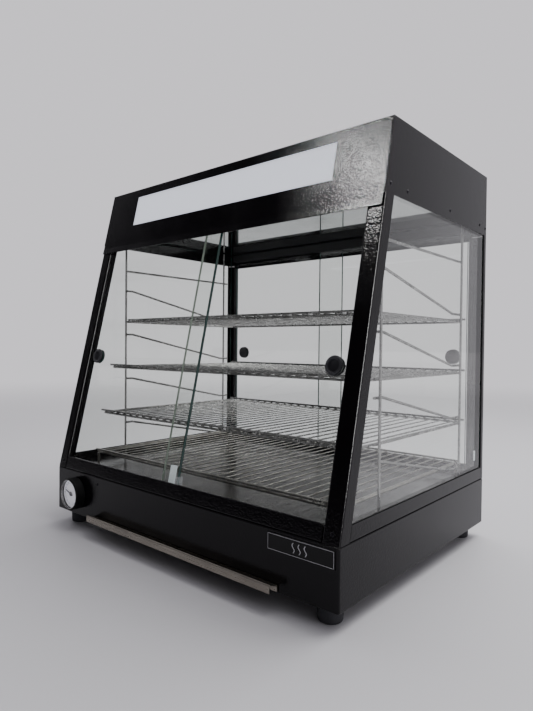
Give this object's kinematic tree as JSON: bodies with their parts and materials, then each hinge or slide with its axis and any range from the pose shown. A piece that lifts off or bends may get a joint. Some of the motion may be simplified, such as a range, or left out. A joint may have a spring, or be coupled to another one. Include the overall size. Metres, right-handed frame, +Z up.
{
  "type": "hot food display case",
  "caption": "Countertop hot food display case: heated glass cabinet with wire shelves, sliding glass doors front and rear, sign header and crumb tray.",
  "frame": {"origin": "centre of the footprint's bounding box, at the height the feet stand on", "axes": "+X to the right as seen from the front, +Y to the back, +Z up"},
  "size_m": [0.616, 0.486, 0.62],
  "materials": {
    "black_powder_coat": "semi-gloss powder coat",
    "clear_glass": "clear, greenish at the edges",
    "opal_acrylic": "white translucent sheet",
    "chromed_wire": "worn bright plating",
    "stainless_steel": "satin to bright",
    "black_rubber": "matte",
    "black_plastic": "satin moulded",
    "clear_plastic": "clear moulded",
    "white_dial": "printed white",
    "heater_sheath": "heat-tinted sheath",
    "lamp_glass": "white coated tube"
  },
  "bodies": {
    "case": {"base_shell": "black_powder_coat", "base_bottom": "black_powder_coat", "foot_front_left": "black_rubber", "foot_front_right": "black_rubber", "foot_rear_left": "black_rubber", "foot_rear_right": "black_rubber", "post_front_left": "black_powder_coat", "post_front_right": "black_powder_coat", "post_rear_left": "black_powder_coat", "post_rear_right": "black_powder_coat", "rail_side_left": "black_powder_coat", "rail_side_right": "black_powder_coat", "rail_front": "black_powder_coat", "rail_rear": "black_powder_coat", "rail_top_rear": "black_powder_coat", "header_cover": "black_powder_coat", "header_side_left": "black_powder_coat", "header_side_right": "black_powder_coat", "badge_plate": "black_powder_coat", "side_glass_left": "clear_glass", "side_glass_right": "clear_glass", "sign_panel": "opal_acrylic", "ladder_left": "chromed_wire", "ladder_right": "chromed_wire", "shelf_top": "chromed_wire", "shelf_middle": "chromed_wire", "shelf_lower": "chromed_wire", "floor_rack": "chromed_wire", "ceiling_panel": "stainless_steel", "floor_pan": "stainless_steel", "tray_guide": "stainless_steel", "element_bridge": "stainless_steel", "lamp_fitting": "stainless_steel", "lamp_tube": "lamp_glass", "track_front_low": "black_plastic", "track_front_top": "black_plastic", "track_rear_low": "black_plastic", "track_rear_top": "black_plastic", "door_centre_stop": "clear_plastic", "thermometer_case": "black_plastic", "thermometer_bezel": "stainless_steel", "thermometer_dial": "white_dial", "thermometer_lens": "clear_plastic", "thermostat_body": "black_plastic", "switch_frame": "black_plastic", "cable_gland": "black_plastic", "heating_element": "heater_sheath"},
    "front_left_door": {"door_front_left": "clear_glass", "pull_front_left": "black_plastic"},
    "front_right_door": {"door_front_right": "clear_glass", "pull_front_right": "black_plastic"},
    "rear_left_door": {"door_rear_left": "clear_glass", "pull_rear_left": "black_plastic"},
    "rear_right_door": {"door_rear_right": "clear_glass", "pull_rear_right": "black_plastic"},
    "crumb_drawer": {"crumb_tray": "stainless_steel"},
    "thermostat_dial": {"thermostat_knob": "black_plastic"},
    "power_switch": {"rocker_power": "black_plastic"},
    "lamp_switch": {"rocker_lamp": "black_plastic"},
    "thermometer_needle": {"thermometer_pointer": "black_plastic"}
  },
  "joints": [
    {"name": "front_left_door_slide", "type": "slide", "parent": "case", "child": "front_left_door", "axis": [1, 0, 0], "range_m": [0, 0.215]},
    {"name": "front_right_door_slide", "type": "slide", "parent": "case", "child": "front_right_door", "axis": [-1, 0, 0], "range_m": [0, 0.215]},
    {"name": "rear_left_door_slide", "type": "slide", "parent": "case", "child": "rear_left_door", "axis": [1, 0, 0], "range_m": [0, 0.215]},
    {"name": "rear_right_door_slide", "type": "slide", "parent": "case", "child": "rear_right_door", "axis": [-1, 0, 0], "range_m": [0, 0.215]},
    {"name": "crumb_tray_slide", "type": "slide", "parent": "case", "child": "crumb_drawer", "axis": [0, -1, 0], "range_m": [0, 0.36]},
    {"name": "thermostat_turn", "type": "hinge", "parent": "case", "child": "thermostat_dial", "pos_m": [0.15, 0.225, 0.062], "axis": [0, 1, 0], "range_deg": [0, 270]},
    {"name": "power_rock", "type": "hinge", "parent": "case", "child": "power_switch", "pos_m": [0.058, 0.221, 0.062], "axis": [1, 0, 0], "range_deg": [-12, 0]},
    {"name": "lamp_rock", "type": "hinge", "parent": "case", "child": "lamp_switch", "pos_m": [0.086, 0.221, 0.062], "axis": [1, 0, 0], "range_deg": [-12, 0]},
    {"name": "thermometer_turn", "type": "hinge", "parent": "case", "child": "thermometer_needle", "pos_m": [-0.243, -0.225, 0.0625], "axis": [0, 1, 0], "range_deg": [-68, 202], "stiffness_Nm_per_rad": 0.001}
  ]
}
